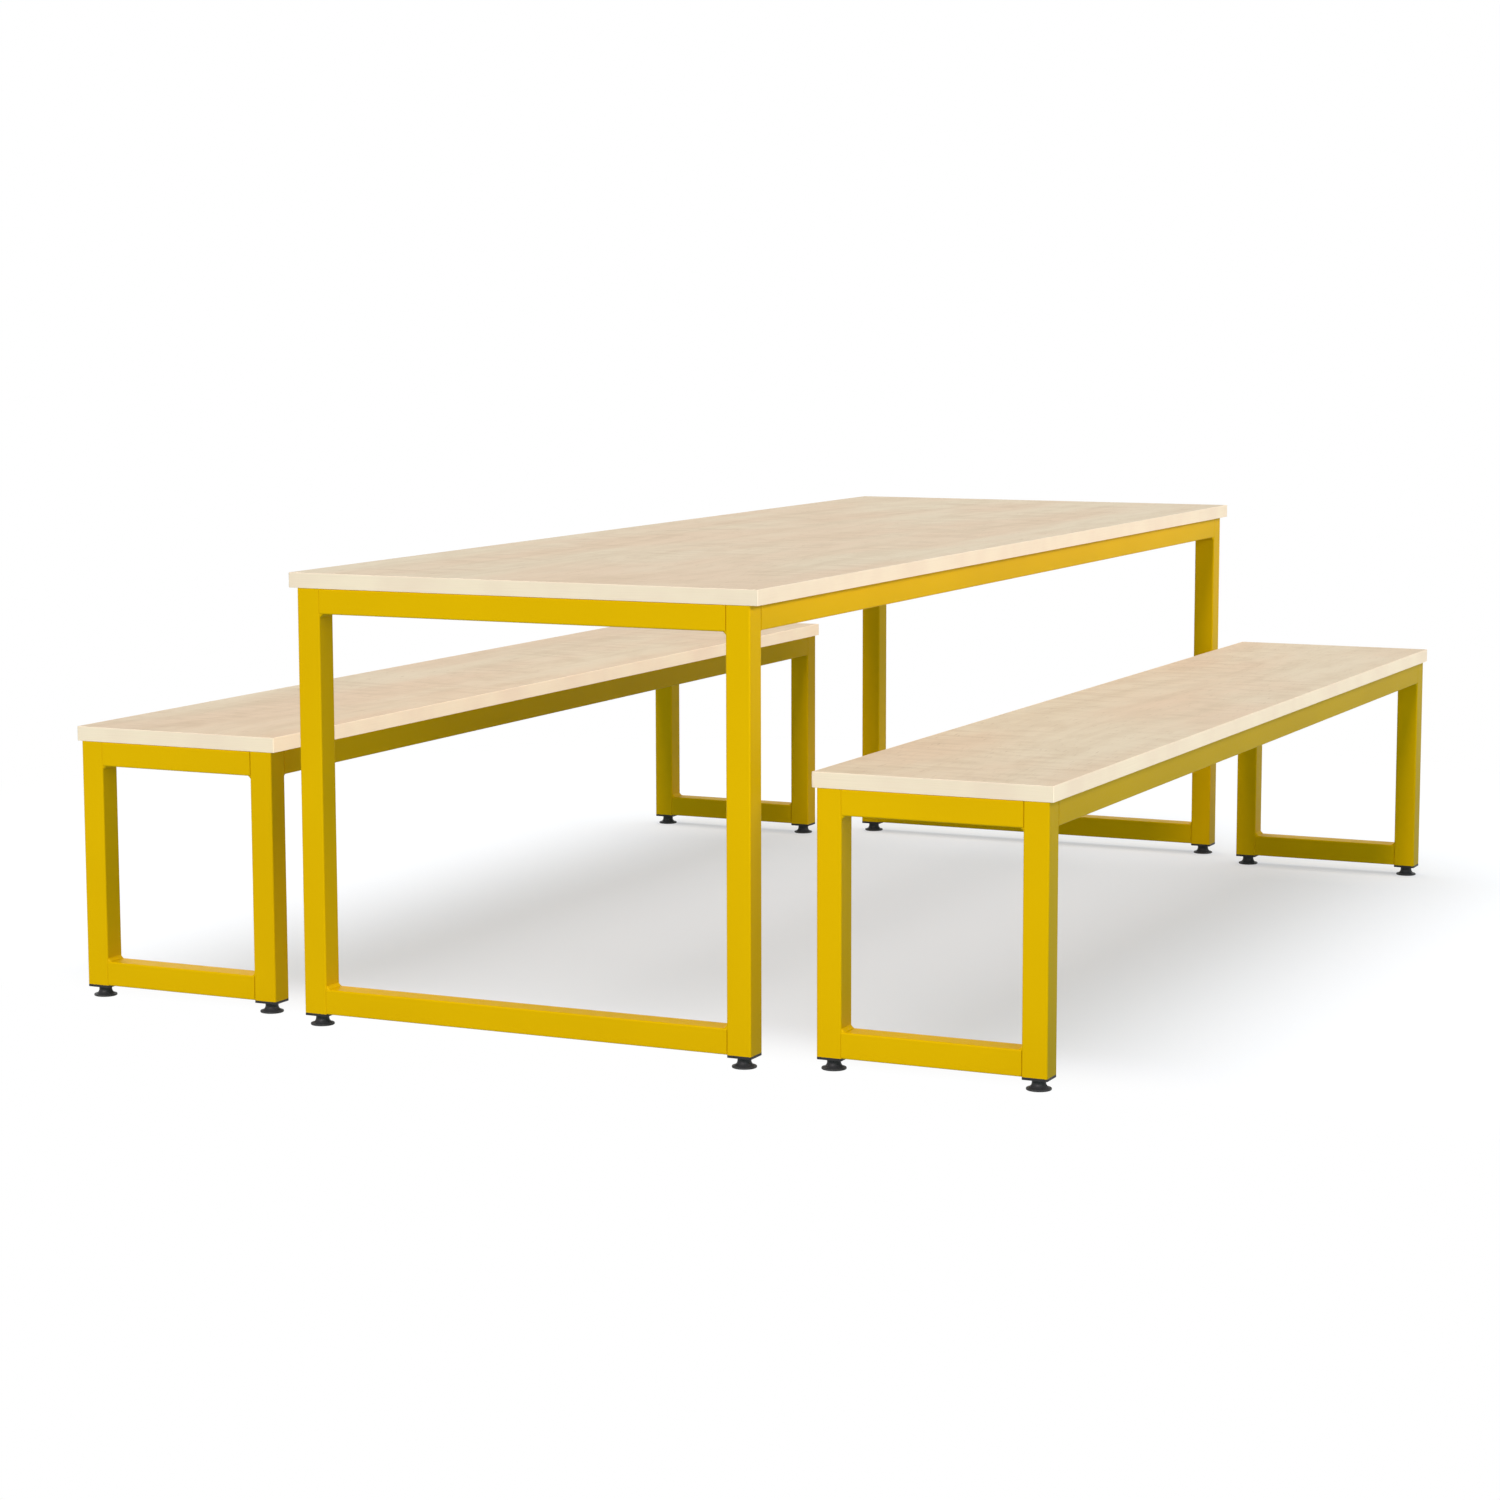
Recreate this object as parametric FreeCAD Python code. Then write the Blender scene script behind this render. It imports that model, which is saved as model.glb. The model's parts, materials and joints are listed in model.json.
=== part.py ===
import FreeCAD, Part
import math
import os

# A dining table with two benches. All three are faced boards on welded frames of square steel tube,
# with a closed hoop at each end and screw-in levelling feet. Lengths are in millimetres.
# X runs along the set with the near end at -X, +Y is the left side, and Z = 0 is the floor.

Vector = FreeCAD.Vector
X_AXIS = Vector(1, 0, 0)
Y_AXIS = Vector(0, 1, 0)
Z_AXIS = Vector(0, 0, 1)
ORIGIN = Vector(0, 0, 0)

# Overall sizes
table_length = 2260.0
table_width = 810.0
table_height = 720.0
bench_length = 2120.0
bench_width = 380.0
bench_height = 450.0

# Where the benches stand: clear of the table's long edges, and a little towards the near end
bench_gap = 65.0
bench_near_shift = 23.0

# How far each top stands out past its frame
table_end_overhang = 2.0
table_side_overhang = 14.0
bench_end_overhang = 2.0
bench_side_overhang = 7.0

# Square steel tube and its welds
tube_size = 40.0
tube_wall = 2.0
tube_corner_radius = 2.5
weld_leg = 5.5
weld_throat_share = 0.42

# Faced board and its edge bands
board_thickness = 24.0
band_thickness = 2.0
band_arris_radius = 1.2
band_seam_gap = 0.1
arris_limit_share = 0.8

# Screws that hold the board, driven from inside the tube through an access hole below
screw_shank_diameter = 4.2
screw_depth_in_board = 17.0
screw_tip_length = 4.0
screw_head_diameter = 8.2
screw_head_height = 3.0
screw_recess_width = 1.0
screw_recess_length = 4.4
screw_recess_depth = 1.6
screw_hole_clearance = 0.15
screw_pilot_spare_depth = 1.0
access_hole_diameter = 12.0
table_long_rail_screws = 5
table_cross_rail_screws = 2
bench_long_rail_screws = 4
bench_cross_rail_screws = 1

# Tube insert: a flange the size of the tube, and a hollow plug with a threaded boss
insert_flange_thickness = 4.0
insert_plug_height = 26.0
insert_plug_clearance = 0.15
insert_skirt_wall = 2.2
insert_boss_diameter = 18.0
insert_rib_thickness = 2.5

# Levelling foot: a moulded base on a threaded stud
stud_diameter = 10.0
stud_pitch = 1.5
stud_thread_depth = 0.9
stud_running_clearance = 0.1
stud_reach_past_boss = 1.5
stud_end_chamfer = 1.0
foot_stop_gap = 0.2
base_height = 16.5
base_pad_diameter = 38.0
base_rim_height = 3.0
base_rim_radius = 1.0
base_neck_diameter = 21.0
base_flare_height = 8.5
base_flare_mid_share = 0.3
base_neck_chamfer = 0.6
base_socket_depth = 12.0

# Cuts run this far past the faces that they break through
cut_overrun = 1.0

frame_bottom = base_height + foot_stop_gap + insert_flange_thickness
tube_bore = tube_size - 2 * tube_wall
tube_bore_radius = max(tube_corner_radius - tube_wall, 0)


class Item:
    """One piece of furniture, with the sizes that its own frame and top follow."""

    def __init__(self, name, centre_x, centre_y, size, overhang, screw_counts):
        self.name = name
        self.centre = Vector(centre_x, centre_y, 0)
        self.length, self.width, self.height = size
        self.end_overhang, self.side_overhang = overhang
        self.long_rail_screws, self.cross_rail_screws = screw_counts
        self.frame_top = self.height - board_thickness
        self.leg_length = self.frame_top - frame_bottom
        self.leg_x = self.length / 2 - self.end_overhang - tube_size / 2
        self.leg_y = self.width / 2 - self.side_overhang - tube_size / 2
        self.long_rail_length = 2 * self.leg_x - tube_size
        self.cross_rail_length = 2 * self.leg_y - tube_size
        self.top_rail_z = self.frame_top - tube_size / 2
        self.foot_rail_z = frame_bottom + tube_size / 2

    def corners(self):
        """Names and plan places of the four legs."""
        for end, x in (("near", -self.leg_x), ("far", self.leg_x)):
            for side, y in (("left", self.leg_y), ("right", -self.leg_y)):
                yield end + "_" + side, Vector(x, y, 0)

    def save(self, node, *solids):
        """Sets the solids beside the item's own centre and writes them as one named node."""
        placed = []
        for solid in solids:
            placed.append(moved(solid, self.centre))
        shape = placed[0] if len(placed) == 1 else Part.makeCompound(placed)
        shape.exportStep("parts/" + self.name + "_" + node + ".step")


def moved(shape, offset):
    """A copy of the shape, shifted."""
    result = shape.copy()
    result.translate(offset)
    return result


def centred_box(size_x, size_y, size_z):
    """A box that stands on Z = 0, centred in plan."""
    return Part.makeBox(size_x, size_y, size_z, Vector(-size_x / 2, -size_y / 2, 0))


def square_bar(size, height, corner_radius):
    """A square bar that stands on Z = 0, centred in plan, with rounded upright edges."""
    bar = centred_box(size, size, height)
    if corner_radius == 0:
        return bar
    upright = [edge for edge in bar.Edges if edge.Vertexes[0].Z != edge.Vertexes[1].Z]
    return bar.makeFillet(corner_radius, upright)


def square_tube(length):
    """A length of tube along +X, starting at X = 0 and centred on the axis."""
    outside = square_bar(tube_size, length, tube_corner_radius)
    inside = square_bar(tube_bore, length + 2 * cut_overrun, tube_bore_radius)
    tube = outside.cut(moved(inside, Vector(0, 0, -cut_overrun)))
    tube.rotate(ORIGIN, Y_AXIS, 90)
    return tube


def upright_cylinder(diameter, height, bottom=ORIGIN):
    """A cylinder along +Z."""
    return Part.makeCylinder(diameter / 2, height, bottom, Z_AXIS)


def turned(points_and_arcs):
    """A solid turned about Z. Each entry is a radius and height, or an arc's middle and end."""
    edges = []
    first = last = Vector(points_and_arcs[0][0], 0, points_and_arcs[0][1])
    for entry in points_and_arcs[1:]:
        if len(entry) == 4:
            middle = Vector(entry[0], 0, entry[1])
            end = Vector(entry[2], 0, entry[3])
            edges.append(Part.Arc(last, middle, end).toShape())
        else:
            end = Vector(entry[0], 0, entry[1])
            edges.append(Part.makeLine(last, end))
        last = end
    edges.append(Part.makeLine(last, first))
    return Part.Face(Part.Wire(edges)).revolve(ORIGIN, Z_AXIS, 360)


def weld_fillet():
    """A hollow-faced weld in the corner below the start of a rail: +X is along it, -Z down the leg."""
    bead_width = tube_size - 2 * tube_corner_radius
    throat = weld_throat_share * weld_leg
    corner = Vector(0, -bead_width / 2, 0)
    along = corner + weld_leg * X_AXIS
    down = corner - weld_leg * Z_AXIS
    face_middle = corner + throat * (X_AXIS - Z_AXIS)
    outline = Part.Wire([
        Part.makeLine(corner, along),
        Part.Arc(along, face_middle, down).toShape(),
        Part.makeLine(down, corner),
    ])
    return Part.Face(outline).extrude(bead_width * Y_AXIS)


def welded_rail(length):
    """A rail along X, centred on the origin, with a weld fillet below each end."""
    rail = moved(square_tube(length), -length / 2 * X_AXIS)
    start_weld = moved(weld_fillet(), Vector(-length / 2, 0, -tube_size / 2))
    end_weld = start_weld.mirror(ORIGIN, X_AXIS)
    return rail.fuse([start_weld, end_weld]).removeSplitter()


def screw_places(length, count):
    """Even places along a rail of this length, centred on 0."""
    return [length * ((i + 0.5) / count - 0.5) for i in range(count)]


def screwed_rail(length, screw_count):
    """A welded rail with holes for the board's screws above and for the driver below."""
    screw_hole = upright_cylinder(
        screw_shank_diameter + 2 * screw_hole_clearance,
        tube_wall + 2 * cut_overrun,
        Vector(0, 0, tube_size / 2 - tube_wall - cut_overrun))
    access_hole = upright_cylinder(
        access_hole_diameter,
        tube_wall + 2 * cut_overrun,
        Vector(0, 0, -tube_size / 2 - cut_overrun))
    holes = []
    for x in screw_places(length, screw_count):
        holes.append(moved(screw_hole, x * X_AXIS))
        holes.append(moved(access_hole, x * X_AXIS))
    return welded_rail(length).cut(holes)


def turned_to_y(rail):
    """The same rail lying along Y."""
    result = rail.copy()
    result.rotate(ORIGIN, Z_AXIS, 90)
    return result


def board_screw():
    """A pan-head screw along +Z with its head's seat at Z = 0."""
    head_radius = screw_head_diameter / 2
    shank_radius = screw_shank_diameter / 2
    shank_length = tube_wall + screw_depth_in_board
    dome_radius = (head_radius ** 2 + screw_head_height ** 2) / (2 * screw_head_height)
    dome_angle = math.atan2(screw_head_height, head_radius)
    dome_middle_drop = dome_radius * (1 - math.cos(dome_angle))
    screw = turned([
        (0, -screw_head_height),
        (dome_radius * math.sin(dome_angle), dome_middle_drop - screw_head_height, head_radius, 0),
        (shank_radius, 0),
        (shank_radius, shank_length - screw_tip_length),
        (0, shank_length),
    ])
    slot = moved(
        centred_box(screw_recess_length, screw_recess_width, screw_recess_depth + cut_overrun),
        -(screw_head_height + cut_overrun) * Z_AXIS)
    cross_slot = slot.copy()
    cross_slot.rotate(ORIGIN, Z_AXIS, 90)
    return screw.cut([slot, cross_slot])


def board_screw_places(item):
    """Plan places of an item's board screws: along both long rails, then along both cross rails."""
    along = screw_places(item.long_rail_length, item.long_rail_screws)
    across = screw_places(item.cross_rail_length, item.cross_rail_screws)
    places = [Vector(x, y, 0) for y in (item.leg_y, -item.leg_y) for x in along]
    places += [Vector(x, y, 0) for x in (-item.leg_x, item.leg_x) for y in across]
    return places


def save_screws(item):
    screw = moved(board_screw(), (item.frame_top - tube_wall) * Z_AXIS)
    item.save("top_screws", *[moved(screw, place) for place in board_screw_places(item)])


def save_top(item):
    """The board with blind pilot holes below, and the bands round its edge."""
    core_length = item.length - 2 * band_thickness
    core_width = item.width - 2 * band_thickness
    pilot = upright_cylinder(
        screw_shank_diameter + 2 * screw_hole_clearance,
        cut_overrun + screw_depth_in_board + screw_pilot_spare_depth,
        Vector(0, 0, item.frame_top - cut_overrun))
    pilots = [moved(pilot, place) for place in board_screw_places(item)]
    board = moved(centred_box(core_length, core_width, board_thickness), item.frame_top * Z_AXIS)
    item.save("top_board", board.cut(pilots))

    left = edge_band(item.length, True)
    left.translate(Vector(0, core_width / 2, item.frame_top))
    far = edge_band(core_width - 2 * band_seam_gap, False)
    far.rotate(ORIGIN, Z_AXIS, -90)
    far.translate(Vector(core_length / 2, 0, item.frame_top))
    item.save("edge_bands", left, left.mirror(ORIGIN, Y_AXIS), far, far.mirror(ORIGIN, X_AXIS))


def edge_band(length, ends_show):
    """A strip along X with its back at Y = 0, its outer edges rounded, and its ends too if they show."""
    band = Part.makeBox(length, band_thickness, board_thickness, Vector(-length / 2, 0, 0))
    rounded = []
    for edge in band.Edges:
        start, end = edge.Vertexes
        on_front = min(start.Y, end.Y) > 0
        on_end = start.X == end.X
        upright = start.Z != end.Z
        long_arris = on_front and not on_end
        end_arris = ends_show and on_end and (on_front or not upright)
        if long_arris or end_arris:
            rounded.append(edge)
    return band.makeFillet(min(band_arris_radius, arris_limit_share * band_thickness), rounded)


def save_frame(item):
    """Legs, long rails, and the cross rails of the two end hoops."""
    leg = square_tube(item.leg_length)
    leg.rotate(ORIGIN, Y_AXIS, -90)
    leg.translate(frame_bottom * Z_AXIS)
    for corner, place in item.corners():
        item.save("leg_" + corner, moved(leg, place))

    long_rail = screwed_rail(item.long_rail_length, item.long_rail_screws)
    item.save("long_rail_left", moved(long_rail, Vector(0, item.leg_y, item.top_rail_z)))
    item.save("long_rail_right", moved(long_rail, Vector(0, -item.leg_y, item.top_rail_z)))

    top_rail = turned_to_y(screwed_rail(item.cross_rail_length, item.cross_rail_screws))
    foot_rail = turned_to_y(welded_rail(item.cross_rail_length)).mirror(ORIGIN, Z_AXIS)
    ends = (-item.leg_x, item.leg_x)
    item.save("top_cross_rails", *[moved(top_rail, Vector(x, 0, item.top_rail_z)) for x in ends])
    item.save("foot_rails", *[moved(foot_rail, Vector(x, 0, item.foot_rail_z)) for x in ends])


def tube_insert():
    """The insert with its flange's top, where the tube stands on it, at Z = 0."""
    plug_size = tube_bore - 2 * insert_plug_clearance
    pocket_size = plug_size - 2 * insert_skirt_wall
    flange = square_bar(tube_size, insert_flange_thickness, tube_corner_radius)
    flange.translate(-insert_flange_thickness * Z_AXIS)
    skirt = square_bar(plug_size, insert_plug_height, tube_bore_radius)
    pocket = centred_box(pocket_size, pocket_size, insert_plug_height + cut_overrun)
    boss = upright_cylinder(insert_boss_diameter, insert_plug_height)
    rib_length = plug_size - insert_skirt_wall
    ribs = [
        centred_box(rib_length, insert_rib_thickness, insert_plug_height),
        centred_box(insert_rib_thickness, rib_length, insert_plug_height),
    ]
    bore = upright_cylinder(
        stud_diameter + 2 * stud_running_clearance,
        insert_flange_thickness + insert_plug_height + 2 * cut_overrun,
        -(insert_flange_thickness + cut_overrun) * Z_AXIS)
    return flange.fuse([skirt.cut(pocket), boss] + ribs).removeSplitter().cut(bore)


def foot_stud():
    """The stud of a foot, standing in its base's socket, with a ridge for each turn of its thread."""
    radius = stud_diameter / 2
    root_radius = radius - stud_thread_depth
    bottom = base_height - base_socket_depth
    top = frame_bottom + insert_plug_height + stud_reach_past_boss
    turns = int((top - stud_end_chamfer - base_height) / stud_pitch)
    outline = [(0, bottom), (radius, bottom), (radius, base_height)]
    for turn in range(turns):
        start = base_height + turn * stud_pitch
        outline.append((root_radius, start + stud_pitch / 2))
        outline.append((radius, start + stud_pitch))
    outline += [(radius - stud_end_chamfer, top), (0, top)]
    return turned(outline)


def foot_base():
    """The moulded base of a foot: a flat pad with a thin rim that flares up into a neck."""
    pad_radius = base_pad_diameter / 2
    neck_radius = base_neck_diameter / 2
    socket_radius = stud_diameter / 2 + stud_running_clearance
    rim_round = base_rim_radius * (1 - math.cos(math.pi / 4))
    flare_edge_radius = pad_radius - base_rim_radius
    flare_width = flare_edge_radius - neck_radius
    flare_top = base_rim_height + base_flare_height
    socket_floor = base_height - base_socket_depth
    return turned([
        (0, 0),
        (pad_radius - base_rim_radius, 0),
        (pad_radius - rim_round, rim_round, pad_radius, base_rim_radius),
        (pad_radius, base_rim_height - base_rim_radius),
        (pad_radius - rim_round, base_rim_height - rim_round, flare_edge_radius, base_rim_height),
        (neck_radius + base_flare_mid_share * flare_width,
         base_rim_height + base_flare_mid_share * base_flare_height, neck_radius, flare_top),
        (neck_radius, base_height - base_neck_chamfer),
        (neck_radius - base_neck_chamfer, base_height),
        (socket_radius, base_height),
        (socket_radius, socket_floor),
        (0, socket_floor),
    ])


def save_feet(item):
    """An insert in each leg, and a base and stud below it."""
    insert = moved(tube_insert(), frame_bottom * Z_AXIS)
    item.save("leg_inserts", *[moved(insert, place) for corner, place in item.corners()])
    base = foot_base()
    stud = foot_stud()
    for corner, place in item.corners():
        item.save("foot_base_" + corner, moved(base, place))
        item.save("foot_stud_" + corner, moved(stud, place))


def main():
    os.makedirs("parts", exist_ok=True)
    table_size = (table_length, table_width, table_height)
    table_overhang = (table_end_overhang, table_side_overhang)
    table_screws = (table_long_rail_screws, table_cross_rail_screws)
    bench_size = (bench_length, bench_width, bench_height)
    bench_overhang = (bench_end_overhang, bench_side_overhang)
    bench_screws = (bench_long_rail_screws, bench_cross_rail_screws)
    bench_y = table_width / 2 + bench_gap + bench_width / 2
    items = [
        Item("table", 0, 0, table_size, table_overhang, table_screws),
        Item("bench_left", -bench_near_shift, bench_y, bench_size, bench_overhang, bench_screws),
        Item("bench_right", -bench_near_shift, -bench_y, bench_size, bench_overhang, bench_screws),
    ]
    for item in items:
        save_frame(item)
        save_top(item)
        save_screws(item)
        save_feet(item)


main()
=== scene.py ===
"""The looks of a dining table with two benches: finishes, weld beads, floor, light and camera."""
import json
import math
from typing import NamedTuple

import bmesh
import bpy
from mathutils import Color, Matrix, Vector


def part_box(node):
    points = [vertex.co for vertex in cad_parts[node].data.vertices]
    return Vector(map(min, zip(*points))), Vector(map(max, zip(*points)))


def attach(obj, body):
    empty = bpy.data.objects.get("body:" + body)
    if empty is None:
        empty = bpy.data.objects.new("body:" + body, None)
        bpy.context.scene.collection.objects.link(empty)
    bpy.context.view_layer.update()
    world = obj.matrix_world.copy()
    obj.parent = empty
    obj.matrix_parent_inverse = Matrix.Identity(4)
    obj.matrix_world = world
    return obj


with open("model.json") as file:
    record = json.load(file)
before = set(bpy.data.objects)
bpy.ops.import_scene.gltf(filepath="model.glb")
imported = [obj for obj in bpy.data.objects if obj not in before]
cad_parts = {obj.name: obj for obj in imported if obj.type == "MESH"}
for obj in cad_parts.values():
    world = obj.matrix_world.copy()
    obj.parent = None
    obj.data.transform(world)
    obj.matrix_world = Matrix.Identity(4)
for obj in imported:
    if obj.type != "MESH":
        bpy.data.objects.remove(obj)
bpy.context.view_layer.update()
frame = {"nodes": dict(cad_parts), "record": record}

MM = 0.001
SCREEN_FULL = 255
UP = Vector((0, 0, 1))
ITEMS = ("table", "bench_left", "bench_right")
CORNERS = ("near_left", "near_right", "far_left", "far_right")
TOP_SLOTS = ("board_face", "edge_band")


class Noise(NamedTuple):
    """A noise pattern: its waves per metre along each axis, its detail and its roughness."""

    per_metre: tuple
    detail: float = 2.0
    roughness: float = 0.5


class Marks(NamedTuple):
    """Marks in a noise: the values where they begin and where they are full, and how much then shows."""

    low: float
    high: float
    share: float = 1.0


class Lamp(NamedTuple):
    """A far lamp: what it lights, from where, its light, what casts shadows in it and if it glints."""

    group: str
    source: tuple
    colour: tuple
    power: float
    spread: float
    shadow: str = "all"
    glint: bool = True


def screen(*parts):
    """The linear colour, with alpha, of a colour as it looks on a screen: red, green and blue to 255."""
    return (*Color([part / SCREEN_FULL for part in parts]).from_srgb_to_scene_linear(), 1.0)


# Noise in general: its mean, and the range that holds nearly all of it
NOISE_MEAN = 0.5
NOISE_RANGE = (0.3, 0.7)

# Board print, with the grain along the first axis
BOARD_STRAW = screen(229, 213, 190)
BOARD_PINK = screen(228, 204, 180)
BOARD_STREAK = screen(205, 181, 155)
BOARD_FLECK = screen(172, 142, 114)
BOARD_FLOW_NOISE = Noise((0.75, 2.4, 2.4), detail=1.0)
BOARD_FLOW_WIDTH = 0.26
BOARD_DRIFT_NOISE = Noise((1.5, 5.0, 5.0), detail=3.0)
BOARD_DRIFT_MARKS = Marks(0.34, 0.66)
BOARD_FIGURE_NOISE = Noise((1.3, 26.0, 26.0), detail=4.0, roughness=0.6)
BOARD_FIGURE_MARKS = Marks(0.46, 0.78, 0.30)
BOARD_BLOTCH_NOISE = Noise((8.0, 21.0, 21.0), detail=3.0, roughness=0.6)
BOARD_BLOTCH_MARKS = Marks(0.42, 0.72, 0.26)
BOARD_CURL_NOISE = Noise((42.0, 9.0, 9.0), detail=3.0, roughness=0.55)
BOARD_CURL_MARKS = Marks(0.42, 0.70, 0.40)
BOARD_CURL_PATCH_NOISE = Noise((1.6, 7.0, 7.0), detail=1.0)
BOARD_CURL_PATCH_MARKS = Marks(0.36, 0.58)
BOARD_FIBRE_NOISE = Noise((9.0, 620.0, 620.0))
BOARD_FIBRE_MARKS = Marks(0.40, 0.75, 0.16)
BOARD_FLECK_NOISE = Noise((26.0, 300.0, 300.0), detail=1.0)
BOARD_FLECK_MARKS = Marks(0.66, 0.75, 0.36)
BOARD_SPECULAR = 0.04
BOARD_ROUGHNESS = (0.56, 0.64)
BOARD_RELIEF = 0.03 * MM

# Edge band print, with the axes along the band, up it and through it
BAND_CREAM = screen(246, 226, 202)
BAND_SHADE = screen(241, 218, 196)
BAND_FIBRE = screen(228, 205, 177)
BAND_PATCH_NOISE = Noise((9.0, 7.0, 1.0), detail=3.0)
BAND_PATCH_MARKS = Marks(0.34, 0.72)
BAND_FIBRE_NOISE = Noise((11.0, 700.0, 1.0))
BAND_FIBRE_MARKS = Marks(0.42, 0.75, 0.18)
BAND_SPECULAR = 0.08
BAND_ROUGHNESS = (0.50, 0.57)
BAND_RELIEF = 0.02 * MM

# Frame paint
PAINT_YELLOW = screen(224, 178, 0)
PAINT_DEEP = screen(219, 173, 0)
PAINT_DRIFT_NOISE = Noise((3.0, 3.0, 3.0))
PAINT_DRIFT_MARKS = Marks(*NOISE_RANGE)
PAINT_PEEL_NOISE = Noise((330.0, 330.0, 330.0), detail=1.0)
PAINT_PEEL_RELIEF = 0.012 * MM
PAINT_GRAIN_NOISE = Noise((1700.0, 1700.0, 1700.0), detail=1.0)
PAINT_GRAIN_RELIEF = 0.004 * MM
PAINT_SPECULAR = 0.03
PAINT_ROUGHNESS = (0.36, 0.44)

# Black plastic of the inserts and the feet, with dust up to a height above the floor
INSERT_BLACK = screen(44, 44, 46)
FOOT_BLACK = screen(52, 52, 54)
FOOT_DUST = screen(92, 91, 88)
PLASTIC_CLOUD_NOISE = Noise((90.0, 90.0, 90.0))
PLASTIC_CLOUD_MARKS = Marks(0.35, 0.65)
PLASTIC_CLOUD_SHARE = 0.8
PLASTIC_SPARK_NOISE = Noise((2300.0, 2300.0, 2300.0), detail=1.0)
PLASTIC_SPARK_RELIEF = 0.012 * MM
PLASTIC_SPECULAR = 0.2
PLASTIC_ROUGHNESS = (0.42, 0.56)
DUST_MARKS = Marks(*NOISE_RANGE)
DUST_SHARE = 0.45
DUST_FULL_HEIGHT = 0.5 * MM
DUST_END_HEIGHT = 5.0 * MM

# Zinc plate of the studs and screws
ZINC_BRIGHT = screen(206, 207, 203)
ZINC_DULL = screen(170, 172, 171)
ZINC_CLOUD_NOISE = Noise((240.0, 240.0, 240.0), detail=3.0)
ZINC_CLOUD_MARKS = Marks(0.35, 0.65)
ZINC_LINE_NOISE = Noise((300.0, 300.0, 9000.0), detail=1.0)
ZINC_LINE_RELIEF = 0.003 * MM
ZINC_ROUGHNESS = (0.24, 0.38)

# Weld beads, in metres
BEAD_LEG = 5.9 * MM
BEAD_HALF_LENGTH = 19 * MM
BEAD_END = 3 * MM
BEAD_HOLLOW = 0.45 * MM
BEAD_RIPPLE = 0.28 * MM
BEAD_PITCH = 2.9 * MM
BEAD_ROOT_DEPTH = 1.2 * MM
BEAD_STEPS = 96
BEAD_PROFILE_STEPS = 8
BEAD_CRESCENT = 0.9
BEAD_END_SHARE = 0.2

# The camera, matched to the photograph's lines
CAMERA_EYE = Vector((-5.68427, -2.54754, 1.14427))
CAMERA_AIM = Vector((0.0, 0.14311, 0.31919))
CAMERA_ROLL = math.radians(-0.1259)
CAMERA_LENS_MM = 82.846
CAMERA_SENSOR_MM = 36.0

# Floor, in metres from the middle of the set: a painted white glow lightens its shadow and fades it out all
# round, and sooner at the near end
FLOOR_SIDE = 60.0
FLOOR_SEEN = (0.98, 0.97, 1.0, 1.0)
FLOOR_BOUNCE = (0.33, 0.45, 0.43, 1.0)
# Painted shade colour: the glow is tinted bluish near the object, where the shadow lies, to cool the
# shadow's warm cast
FLOOR_SHADE_TINT = (0.965, 0.965, 1.0, 1.0)
FLOOR_SHADOW_SHARE = 0.48
FLOOR_FADE_START = 1.5
FLOOR_FADE_END = 2.7
FLOOR_NEAR_WHITE = -1.07
FLOOR_NEAR_SHADE = -0.77

# Light from all round
WORLD_ON_OBJECT = (0.220, 0.284, 0.27, 1.0)
PLAIN_WHITE = (1.0, 1.0, 1.0, 1.0)

# Lamps, with their spread in degrees: the tops, the frames and the floor each have their own
# The edge lamps shine up from below the floor, so only the tops cast shadows in their light
WARM_LIGHT = (1.0, 0.885, 0.90)
COOL_LIGHT = (0.82, 1.0, 0.96)
SOFT_LIGHT = (1.0, 0.957, 0.952)
PLAIN_LIGHT = (1.0, 1.0, 1.0)
OVERHEAD = (-0.10, 0.04, 0.99)
LAMPS = {
    "top_lamp": Lamp("tops", OVERHEAD, SOFT_LIGHT, power=1.25, spread=20),
    "top_fill": Lamp("tops", OVERHEAD, SOFT_LIGHT, power=1.05, spread=20, shadow="none"),
    "near_edge_lamp": Lamp("tops", (-0.64, -0.74, -0.14), SOFT_LIGHT, power=2.85, spread=10, shadow="tops"),
    "front_lamp": Lamp("frames", (-0.84, -0.02, 0.54), WARM_LIGHT, power=2.12, spread=12),
    "low_fill": Lamp("frames", (-0.62, -0.77, 0.14), COOL_LIGHT, power=0.60, spread=30),
    "far_edge_lamp": Lamp("tops", (0.70, 0.70, -0.14), SOFT_LIGHT, power=2.90, spread=10, shadow="tops"),
    "back_lamp": Lamp("frames", (0.64, 0.70, 0.30), SOFT_LIGHT, power=1.65, spread=30, glint=False),
    "rail_top_fill": Lamp("frames", OVERHEAD, COOL_LIGHT, power=0.40, spread=20, shadow="none"),
    "floor_lamp": Lamp("floor", (-0.18, 0.03, 0.98), PLAIN_LIGHT, power=2.90, spread=75),
}

# A panel lamp beside the right bench, in metres, tilted down from level
PANEL_PLACE = (0.0, -1.6, 1.3)
PANEL_LEVEL = math.radians(90)
PANEL_TILT = math.radians(24)
PANEL_BEAM = math.radians(86)
PANEL_LENGTH = 3.8
PANEL_HEIGHT = 0.3
PANEL_POWER = 7.8

# Sockets of the colour mixer: the share and the two colours in, and the colour out
MIX_INPUTS = (0, 6, 7)
MIX_OUTPUT = 2


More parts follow.
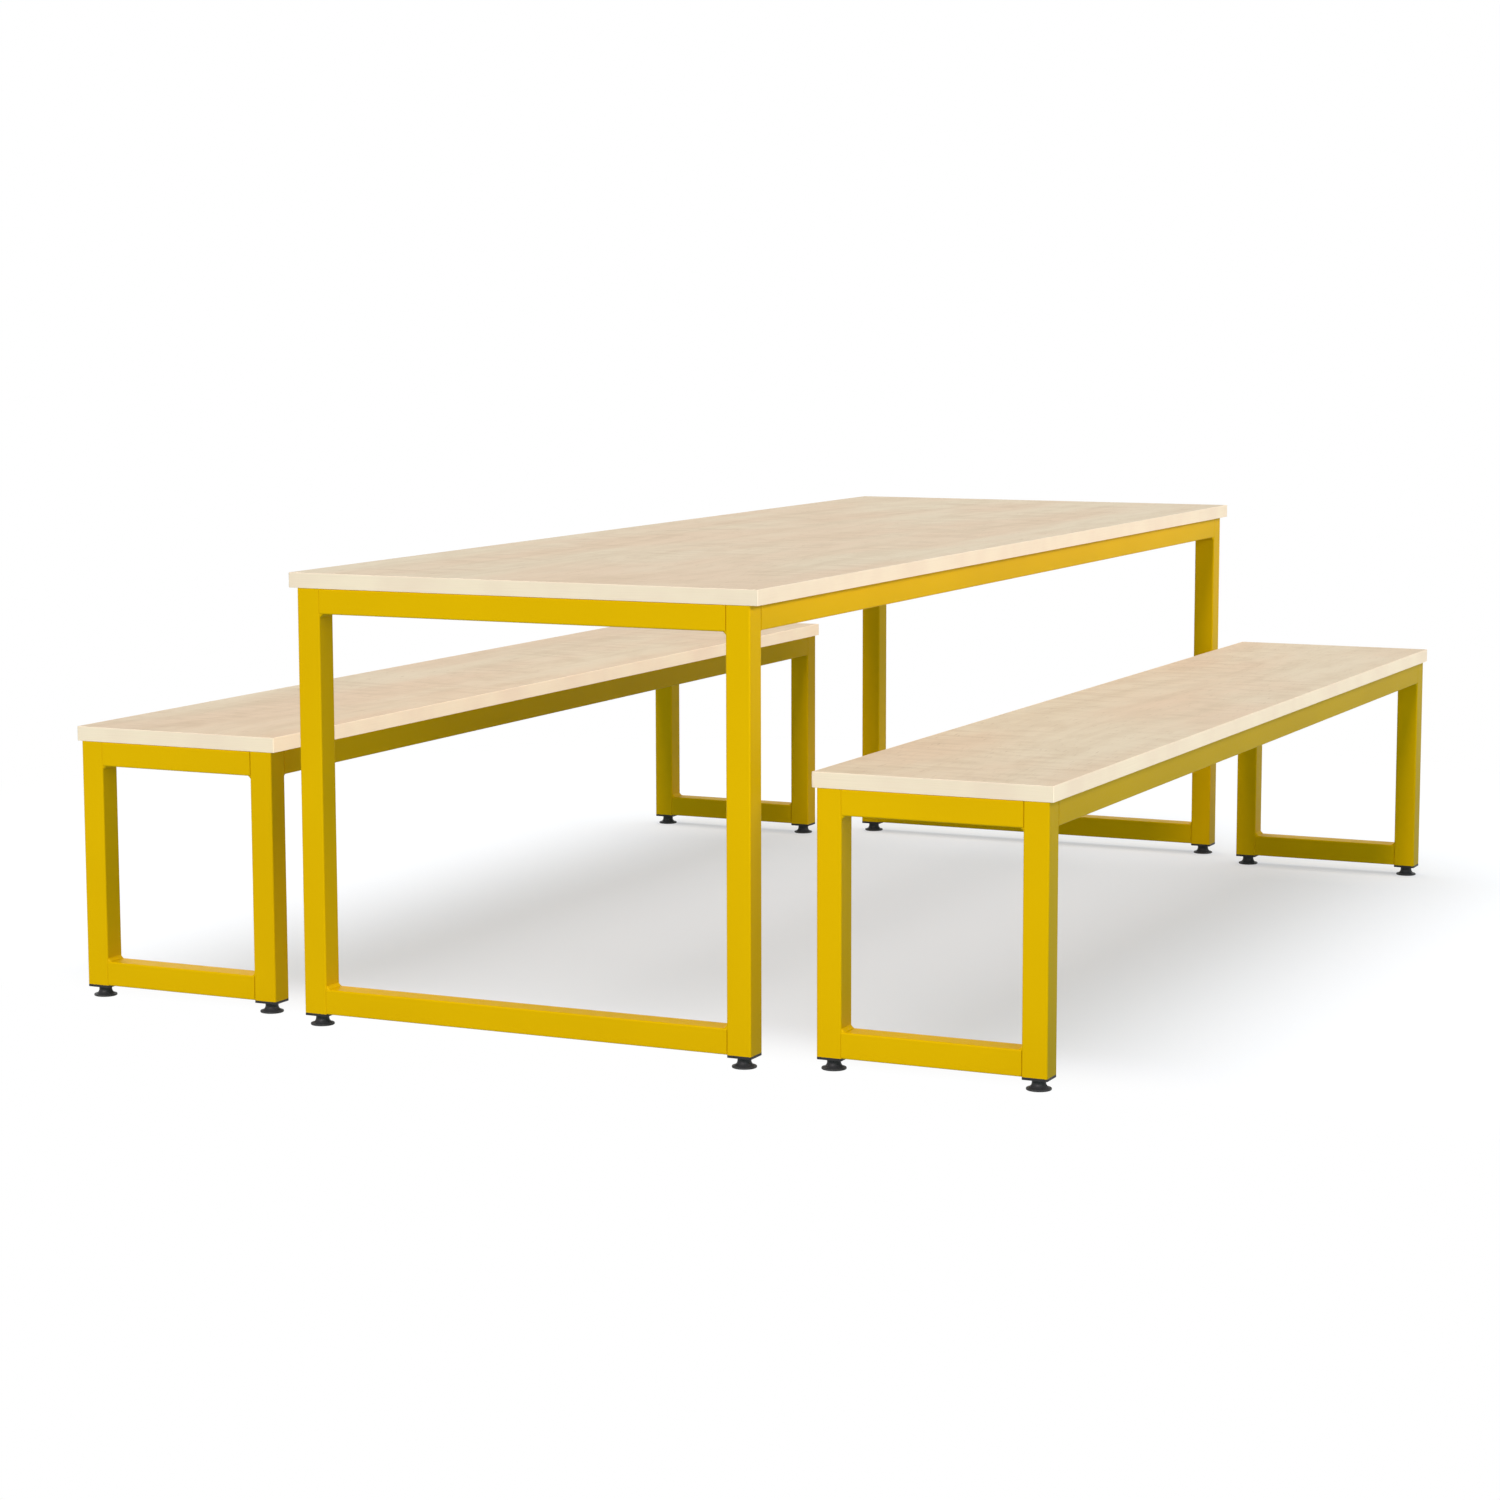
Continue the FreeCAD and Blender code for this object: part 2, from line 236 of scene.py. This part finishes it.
class Nodes:
    """A node tree, with short ways to add and join its nodes."""

    def __init__(self, tree):
        self.tree = tree

    def add(self, kind):
        return self.tree.nodes.new(kind)

    def feed(self, socket, value):
        """Links an output to a socket, or sets the socket to a plain value."""
        if isinstance(value, bpy.types.NodeSocket):
            self.tree.links.new(value, socket)
        else:
            socket.default_value = value

    def feed_all(self, sockets, values):
        for socket, value in zip(sockets, values):
            self.feed(socket, value)

    def math(self, operation, first, second=0.0):
        node = self.add("ShaderNodeMath")
        node.operation = operation
        self.feed_all(node.inputs, (first, second))
        return node.outputs[0]

    def spread(self, value, low, high, to_low=0.0, to_high=1.0):
        """Stretches a value from one range to another and keeps it inside."""
        node = self.add("ShaderNodeMapRange")
        node.interpolation_type = "SMOOTHSTEP"
        self.feed_all(node.inputs, (value, low, high, to_low, to_high))
        return node.outputs[0]

    def blend(self, share, first, second):
        """A colour between two others."""
        node = self.add("ShaderNodeMix")
        node.data_type = "RGBA"
        self.feed_all([node.inputs[i] for i in MIX_INPUTS], (share, first, second))
        return node.outputs[MIX_OUTPUT]

    def seen(self):
        """1 for rays that show a surface to the camera, straight or by reflection, and 0 for light rays."""
        rays = self.add("ShaderNodeLightPath").outputs
        reflected = self.math("MAXIMUM", rays["Is Glossy Ray"], rays["Is Transmission Ray"])
        return self.math("MAXIMUM", rays["Is Camera Ray"], reflected)


class Finish(Nodes):
    """One material, with its shader and the patterns and relief that feed it."""

    def __init__(self, name, specular=0.5, metallic=0.0):
        self.material = bpy.data.materials.new(name)
        self.material.use_nodes = True
        super().__init__(self.material.node_tree)
        self.shader = self.tree.nodes["Principled BSDF"]
        self.shader.inputs["Specular IOR Level"].default_value = specular
        self.shader.inputs["Metallic"].default_value = metallic
        self.place = self.add("ShaderNodeTexCoord").outputs["Object"]

    def split(self, vector):
        node = self.add("ShaderNodeSeparateXYZ")
        self.feed(node.inputs[0], vector)
        return node.outputs

    def joined(self, x, y, z):
        node = self.add("ShaderNodeCombineXYZ")
        self.feed_all(node.inputs, (x, y, z))
        return node.outputs[0]

    def noise(self, place, pattern):
        """Soft noise at a place, stretched along each axis as its pattern says."""
        mapping = self.add("ShaderNodeMapping")
        self.feed(mapping.inputs["Vector"], place)
        mapping.inputs["Scale"].default_value = pattern.per_metre
        node = self.add("ShaderNodeTexNoise")
        self.feed(node.inputs["Vector"], mapping.outputs[0])
        node.inputs["Scale"].default_value = 1.0
        node.inputs["Detail"].default_value = pattern.detail
        node.inputs["Roughness"].default_value = pattern.roughness
        return node.outputs[0]

    def marked(self, noise, marks):
        """How far marks show in a noise: from nothing to their full share."""
        return self.spread(noise, marks.low, marks.high, 0.0, marks.share)

    def layer(self, under, over, noise, marks, within=None):
        """Lays one colour over another as marks in a noise, held within patches where some are given."""
        share = self.marked(noise, marks)
        if within is not None:
            share = self.math("MULTIPLY", share, within)
        return self.blend(share, under, over)

    def bump(self, height, depth, under=None):
        """Fine relief of a given depth in metres, on top of other relief where there is some."""
        node = self.add("ShaderNodeBump")
        node.inputs["Strength"].default_value = 1.0
        node.inputs["Distance"].default_value = depth
        self.feed(node.inputs["Height"], height)
        if under is not None:
            self.feed(node.inputs["Normal"], under)
        return node.outputs[0]

    def finish(self, colour, roughness, normal):
        self.feed(self.shader.inputs["Base Color"], colour)
        self.feed(self.shader.inputs["Roughness"], roughness)
        self.feed(self.shader.inputs["Normal"], normal)
        return self.material


def board_face():
    """Wood-print melamine: pale, with pink drift, streaks along the length, cross curl and fine flecks."""
    f = Finish("board_face_print", specular=BOARD_SPECULAR)
    x, y, z = f.split(f.place)
    flow = f.math("SUBTRACT", f.noise(f.place, BOARD_FLOW_NOISE), NOISE_MEAN)
    bent_y = f.math("ADD", y, f.math("MULTIPLY", flow, BOARD_FLOW_WIDTH))
    grain = f.joined(x, bent_y, z)
    drift = f.noise(f.place, BOARD_DRIFT_NOISE)
    figure = f.noise(grain, BOARD_FIGURE_NOISE)
    blotch = f.noise(grain, BOARD_BLOTCH_NOISE)
    curl = f.noise(grain, BOARD_CURL_NOISE)
    curl_patch = f.marked(f.noise(grain, BOARD_CURL_PATCH_NOISE), BOARD_CURL_PATCH_MARKS)
    fibre = f.noise(grain, BOARD_FIBRE_NOISE)
    fleck = f.noise(grain, BOARD_FLECK_NOISE)
    ground = f.layer(BOARD_STRAW, BOARD_PINK, drift, BOARD_DRIFT_MARKS)
    streaked = f.layer(ground, BOARD_STREAK, figure, BOARD_FIGURE_MARKS)
    blotched = f.layer(streaked, BOARD_STREAK, blotch, BOARD_BLOTCH_MARKS)
    curled = f.layer(blotched, BOARD_STREAK, curl, BOARD_CURL_MARKS, within=curl_patch)
    fibred = f.layer(curled, BOARD_STREAK, fibre, BOARD_FIBRE_MARKS)
    flecked = f.layer(fibred, BOARD_FLECK, fleck, BOARD_FLECK_MARKS)
    roughness = f.spread(figure, *NOISE_RANGE, *BOARD_ROUGHNESS)
    return f.finish(flecked, roughness, f.bump(fibre, BOARD_RELIEF))


def edge_band():
    """A cream wood-print strip: faint tone patches along it and fine fibres."""
    f = Finish("edge_band_print", specular=BAND_SPECULAR)
    x, y, z = f.split(f.place)
    along = f.joined(f.math("ADD", x, y), z, 0.0)
    patch = f.noise(along, BAND_PATCH_NOISE)
    fibre = f.noise(along, BAND_FIBRE_NOISE)
    ground = f.layer(BAND_CREAM, BAND_SHADE, patch, BAND_PATCH_MARKS)
    fibred = f.layer(ground, BAND_FIBRE, fibre, BAND_FIBRE_MARKS)
    roughness = f.spread(patch, *NOISE_RANGE, *BAND_ROUGHNESS)
    return f.finish(fibred, roughness, f.bump(fibre, BAND_RELIEF))


def frame_paint():
    """Satin powder coat: slow tone drift, orange-peel waves and a fine grain."""
    f = Finish("frame_powder_coat", specular=PAINT_SPECULAR)
    drift = f.noise(f.place, PAINT_DRIFT_NOISE)
    peel = f.noise(f.place, PAINT_PEEL_NOISE)
    grain = f.noise(f.place, PAINT_GRAIN_NOISE)
    colour = f.layer(PAINT_YELLOW, PAINT_DEEP, drift, PAINT_DRIFT_MARKS)
    roughness = f.spread(peel, *NOISE_RANGE, *PAINT_ROUGHNESS)
    waves = f.bump(peel, PAINT_PEEL_RELIEF)
    return f.finish(colour, roughness, f.bump(grain, PAINT_GRAIN_RELIEF, waves))


def moulded_black(name, colour, dust=None):
    """Black moulded plastic with a fine spark texture, dusty close to the floor where dust is given."""
    f = Finish(name, specular=PLASTIC_SPECULAR)
    cloud = f.noise(f.place, PLASTIC_CLOUD_NOISE)
    spark = f.noise(f.place, PLASTIC_SPARK_NOISE)
    shade = (*(PLASTIC_CLOUD_SHARE * part for part in colour[:3]), 1.0)
    tone = f.layer(colour, shade, cloud, PLASTIC_CLOUD_MARKS)
    if dust is not None:
        height = f.split(f.place)["Z"]
        low = f.spread(height, DUST_FULL_HEIGHT, DUST_END_HEIGHT, DUST_SHARE, 0.0)
        tone = f.layer(tone, dust, cloud, DUST_MARKS, within=low)
    roughness = f.spread(cloud, *NOISE_RANGE, *PLASTIC_ROUGHNESS)
    return f.finish(tone, roughness, f.bump(spark, PLASTIC_SPARK_RELIEF))


def plated_steel():
    """Zinc plate: bright, with dull clouds and fine drawn lines round the shank."""
    f = Finish("zinc_plate", metallic=1.0)
    cloud = f.noise(f.place, ZINC_CLOUD_NOISE)
    lines = f.noise(f.place, ZINC_LINE_NOISE)
    colour = f.layer(ZINC_BRIGHT, ZINC_DULL, cloud, ZINC_CLOUD_MARKS)
    roughness = f.spread(cloud, *NOISE_RANGE, *ZINC_ROUGHNESS)
    return f.finish(colour, roughness, f.bump(lines, ZINC_LINE_RELIEF))


def dress_nodes(finishes):
    """Gives every carried-over node the finish of its material slot."""
    for row in frame["record"]["subparts"]:
        for slot in frame["nodes"][row["node"]].material_slots:
            slot.material = finishes[row["material_slot"]]


def add_object(name, data):
    """A new object of the scene."""
    added = bpy.data.objects.new(name, data)
    bpy.context.scene.collection.objects.link(added)
    return added


def bead_size(along_bead):
    """How full the bead is at a place along it: whole in the middle, rounded off at its ends."""
    past = (abs(along_bead) - (BEAD_HALF_LENGTH - BEAD_END)) / BEAD_END
    if past <= 0:
        return 1.0
    return max(BEAD_END_SHARE, math.sqrt(max(0.0, 1 - past * past)))


def bead_ring(corner, along, down, across, step):
    """One cross-section of a weld bead: its face from the rail to the leg, then its buried root."""
    at = (2 * step / BEAD_STEPS - 1) * BEAD_HALF_LENGTH
    size = bead_size(at)
    outward = (along + down).normalized()
    ring = []
    for i in range(BEAD_PROFILE_STEPS + 1):
        t = i / BEAD_PROFILE_STEPS
        middle = math.sin(math.pi * t)
        lag = BEAD_CRESCENT * middle
        ripple = BEAD_RIPPLE * abs(math.sin(math.pi * at / BEAD_PITCH + lag))
        lift = (ripple - BEAD_HOLLOW) * middle
        ring.append(corner + size * (BEAD_LEG * ((1 - t) * along + t * down) + lift * outward) + at * across)
    ring.append(corner - BEAD_ROOT_DEPTH * outward + at * across)
    return ring


def add_bead(mesh, corner, along, down, across):
    """A closed bead with soft ripples in the corner of a rail and a leg."""
    rings = []
    for step in range(BEAD_STEPS + 1):
        rings.append([mesh.verts.new(point) for point in bead_ring(corner, along, down, across, step)])
    count = len(rings[0])
    for before, after in zip(rings, rings[1:]):
        for i in range(count):
            following = (i + 1) % count
            mesh.faces.new((before[i], before[following], after[following], after[i]))
    mesh.faces.new(rings[0])
    mesh.faces.new(reversed(rings[-1]))


def weld_beads(item):
    """All the inside-corner beads of one item's frame, as one piece."""
    mesh = bmesh.new()
    board_low, board_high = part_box(f"{item}_top_board")
    middle = (board_low + board_high) / 2
    for corner in CORNERS:
        low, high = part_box(f"{item}_leg_{corner}")
        centre = (low + high) / 2
        tube = high.x - low.x
        inward_x = Vector((math.copysign(1, middle.x - centre.x), 0, 0))
        inward_y = Vector((0, math.copysign(1, middle.y - centre.y), 0))
        under_top = Vector((centre.x, centre.y, high.z - tube))
        over_foot = Vector((centre.x, centre.y, low.z + tube))
        add_bead(mesh, under_top + inward_y * tube / 2, inward_y, -UP, inward_x)
        add_bead(mesh, under_top + inward_x * tube / 2, inward_x, -UP, inward_y)
        add_bead(mesh, over_foot + inward_y * tube / 2, inward_y, UP, inward_x)
    bmesh.ops.recalc_face_normals(mesh, faces=mesh.faces)
    data = bpy.data.meshes.new(f"{item}_weld_beads")
    mesh.to_mesh(data)
    mesh.free()
    for face in data.polygons:
        face.use_smooth = True
    return add_object(f"{item}_weld_beads", data)


def floor_finish():
    """A white floor that keeps a soft shadow round the object, lightened by a painted white glow, and runs
    out to plain white.
    """
    f = Finish("studio_floor", specular=0.0)
    seen = f.seen()
    f.feed(f.shader.inputs["Base Color"], f.blend(seen, FLOOR_BOUNCE, FLOOR_SEEN))
    f.shader.inputs["Roughness"].default_value = 1.0
    x, y = f.split(f.place)[:2]
    radius = f.math("SQRT", f.math("ADD", f.math("MULTIPLY", x, x), f.math("MULTIPLY", y, y)))
    least = 1.0 - FLOOR_SHADOW_SHARE
    far_share = f.spread(radius, FLOOR_FADE_START, FLOOR_FADE_END, least, 1.0)
    near_share = f.spread(x, FLOOR_NEAR_WHITE, FLOOR_NEAR_SHADE, 1.0, least)
    painted_glow_share = f.math("MAXIMUM", far_share, near_share)
    # Painted light: a white glow, bluish near the object, lightens the floor's real shadow and fades it out
    # all round and at the near end
    white = f.add("ShaderNodeEmission")
    tint = f.blend(f.spread(painted_glow_share, least, 1.0), FLOOR_SHADE_TINT, PLAIN_WHITE)
    f.feed(white.inputs["Color"], tint)
    mix = f.add("ShaderNodeMixShader")
    share = f.math("MULTIPLY", painted_glow_share, seen)
    f.feed_all(mix.inputs, (share, f.shader.outputs[0], white.outputs[0]))
    f.feed(f.tree.nodes["Material Output"].inputs["Surface"], mix.outputs[0])
    return f.material


def add_floor():
    """A wide floor at the height of the feet."""
    half = FLOOR_SIDE / 2
    corners = [(-half, -half, 0), (half, -half, 0), (half, half, 0), (-half, half, 0)]
    data = bpy.data.meshes.new("studio_floor")
    data.from_pydata(corners, [], [tuple(range(len(corners)))])
    data.materials.append(floor_finish())
    floor = add_object("studio_floor", data)
    return floor


def light_world():
    """Even light from all round, which itself shows as plain white."""
    world = bpy.data.worlds.new("studio_world")
    world.use_nodes = True
    sky = Nodes(world.node_tree)
    colour = sky.blend(sky.seen(), WORLD_ON_OBJECT, PLAIN_WHITE)
    sky.feed(sky.tree.nodes["Background"].inputs["Color"], colour)
    bpy.context.scene.world = world


def lit_groups(beads, floor):
    """What the lamps light: the tops, the frames with all that is fixed to them, and the floor."""
    members = {"tops": [], "frames": list(beads), "floor": [floor]}
    for row in frame["record"]["subparts"]:
        group = "tops" if row["material_slot"] in TOP_SLOTS else "frames"
        members[group].append(frame["nodes"][row["node"]])
    groups = {}
    for name, pieces in members.items():
        groups[name] = bpy.data.collections.new(f"lit_{name}")
        for piece in pieces:
            groups[name].objects.link(piece)
    return groups


def add_lamps(groups):
    """The far lamps, each on its own group, with shadows of all, of none or of one group."""
    for name, lamp in LAMPS.items():
        data = bpy.data.lights.new(name, "SUN")
        data.energy = lamp.power
        data.color = lamp.colour
        data.angle = math.radians(lamp.spread)
        data.use_shadow = lamp.shadow != "none"
        light = add_object(name, data)
        light.visible_glossy = lamp.glint
        light.light_linking.receiver_collection = groups[lamp.group]
        if lamp.shadow in groups:
            light.light_linking.blocker_collection = groups[lamp.shadow]
        light.rotation_euler = Vector(lamp.source).to_track_quat("Z", "Y").to_euler()


def add_side_panel(group):
    """A long panel with a grid on the right, whose light on the frames fades towards the floor."""
    data = bpy.data.lights.new("side_panel", "AREA")
    data.shape = "RECTANGLE"
    data.size = PANEL_LENGTH
    data.size_y = PANEL_HEIGHT
    data.energy = PANEL_POWER
    data.color = WARM_LIGHT
    data.spread = PANEL_BEAM
    light = add_object("side_panel", data)
    light.location = PANEL_PLACE
    light.rotation_euler = (PANEL_LEVEL - PANEL_TILT, 0, 0)
    light.visible_camera = False
    light.light_linking.receiver_collection = group


def add_camera():
    """A camera at its eye point, turned to its aim and rolled a little."""
    forward = (CAMERA_AIM - CAMERA_EYE).normalized()
    level = forward.cross(UP).normalized()
    raised = level.cross(forward)
    right = level * math.cos(CAMERA_ROLL) + raised * math.sin(CAMERA_ROLL)
    up = right.cross(forward)
    turn = Matrix((right, up, -forward)).transposed().to_4x4()
    data = bpy.data.cameras.new("camera")
    data.lens = CAMERA_LENS_MM
    data.sensor_width = CAMERA_SENSOR_MM
    camera = add_object("camera", data)
    camera.matrix_world = Matrix.Translation(CAMERA_EYE) @ turn
    bpy.context.scene.camera = camera


finishes = {
    "board_face": board_face(),
    "edge_band": edge_band(),
    "frame_paint": frame_paint(),
    "insert_plastic": moulded_black("insert_black", INSERT_BLACK),
    "foot_plastic": moulded_black("foot_black", FOOT_BLACK, FOOT_DUST),
    "plated_steel": plated_steel(),
}
dress_nodes(finishes)
all_beads = []
for item in ITEMS:
    beads = weld_beads(item)
    beads.data.materials.append(finishes["frame_paint"])
    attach(beads, item)
    all_beads.append(beads)
floor = add_floor()
light_world()
groups = lit_groups(all_beads, floor)
add_lamps(groups)
add_side_panel(groups["frames"])
add_camera()
bpy.context.scene.view_settings.view_transform = "Standard"
